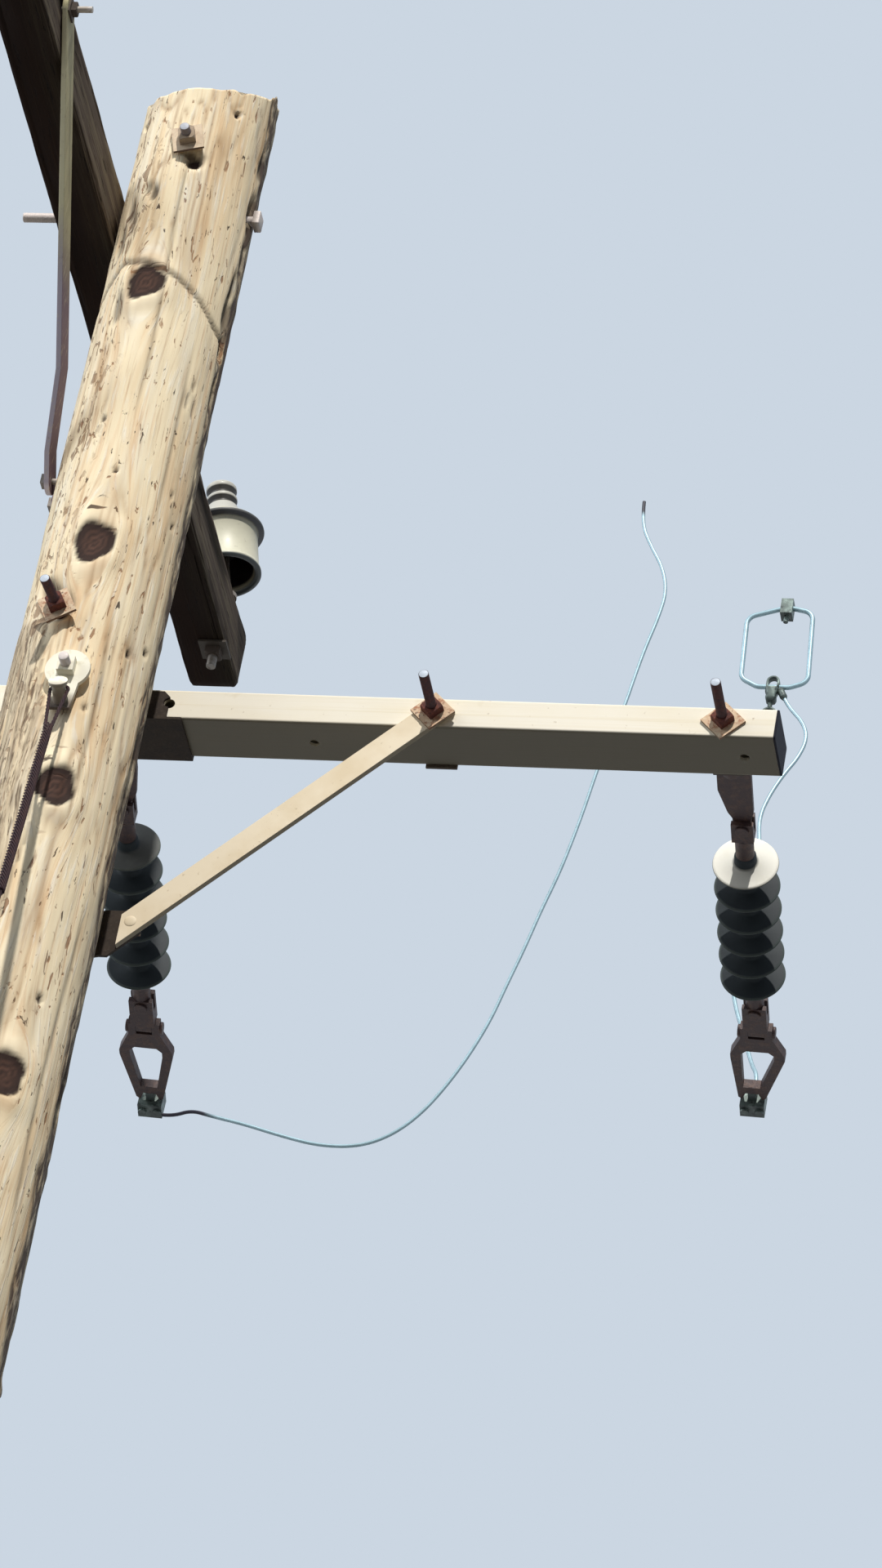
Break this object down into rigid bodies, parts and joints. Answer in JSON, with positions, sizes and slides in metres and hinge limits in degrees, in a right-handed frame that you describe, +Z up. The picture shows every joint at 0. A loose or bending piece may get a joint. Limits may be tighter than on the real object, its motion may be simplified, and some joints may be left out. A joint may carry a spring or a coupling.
{
  "type": "wooden utility pole",
  "caption": "Tall tapered timber pole with two crossarms at right angles, braces, pin and dead-end insulators, strain clamps, loose jumpers and a down guy.",
  "frame": {"origin": "centre of the pole's foot at ground level", "axes": "+Z up along the pole, +X along the lower crossarm, +Y the side that the line pulls towards"},
  "size_m": [2.4731, 6.0678, 10.3812],
  "materials": {
    "weathered_pine": "weathered, unpainted",
    "dark_fir": "weathered sawn timber",
    "cream_fibreglass": "pultruded, sun-faded",
    "grey_steel": "dull galvanised, darkened",
    "galvanised_steel": "hot-dip galvanised",
    "rusty_steel": "rusted",
    "forged_iron": "dark, weathered",
    "painted_brace": "greenish cream, chalky",
    "cream_plate": "chalky",
    "grey_porcelain": "glazed",
    "grey_polymer": "silicone rubber, matt",
    "bare_aluminium": "bare wire",
    "guy_steel": "stranded, rusted"
  },
  "bodies": {
    "root": {"anchor_rod": "rusty_steel", "arm_bolts": "rusty_steel", "arm_cap_left": "cream_fibreglass", "arm_cap_right": "cream_fibreglass", "arm_saddle": "grey_steel", "brace_bolts": "galvanised_steel", "brace_foot_bracket": "grey_steel", "clamp_bail_left": "forged_iron", "clamp_bail_middle": "forged_iron", "clamp_bail_right": "forged_iron", "clamp_body_left": "forged_iron", "clamp_body_middle": "forged_iron", "clamp_body_right": "forged_iron", "clamp_bolts": "bare_aluminium", "clevis_left": "forged_iron", "clevis_middle": "forged_iron", "clevis_right": "forged_iron", "cross_pins": "forged_iron", "dead_end_eye_left": "forged_iron", "dead_end_eye_middle": "forged_iron", "dead_end_eye_right": "forged_iron", "end_fittings_left": "forged_iron", "end_fittings_middle": "forged_iron", "end_fittings_right": "forged_iron", "guy_grip_bottom": "guy_steel", "guy_grip_top": "guy_steel", "guy_nut": "cream_plate", "guy_plate": "cream_plate", "guy_strand": "guy_steel", "lag_screws": "galvanised_steel", "line_pin_far": "galvanised_steel", "line_pin_middle": "galvanised_steel", "line_pin_near": "galvanised_steel", "loose_jumper": "bare_aluminium", "lower_brace_left": "cream_fibreglass", "lower_brace_right": "cream_fibreglass", "lower_crossarm": "cream_fibreglass", "pin_insulator_far": "grey_porcelain", "pin_insulator_middle": "grey_porcelain", "pin_insulator_near": "grey_porcelain", "pole": "weathered_pine", "pole_bolts": "rusty_steel", "right_jumper": "bare_aluminium", "square_nuts": "rusty_steel", "square_washers": "rusty_steel", "stirrup": "bare_aluminium", "stirrup_connector": "bare_aluminium", "strain_insulator_left": "grey_polymer", "strain_insulator_middle": "grey_polymer", "strain_insulator_right": "grey_polymer", "tap_clamp": "bare_aluminium", "upper_brace_far": "painted_brace", "upper_brace_near": "painted_brace", "upper_crossarm": "dark_fir"}
  },
  "joints": []
}
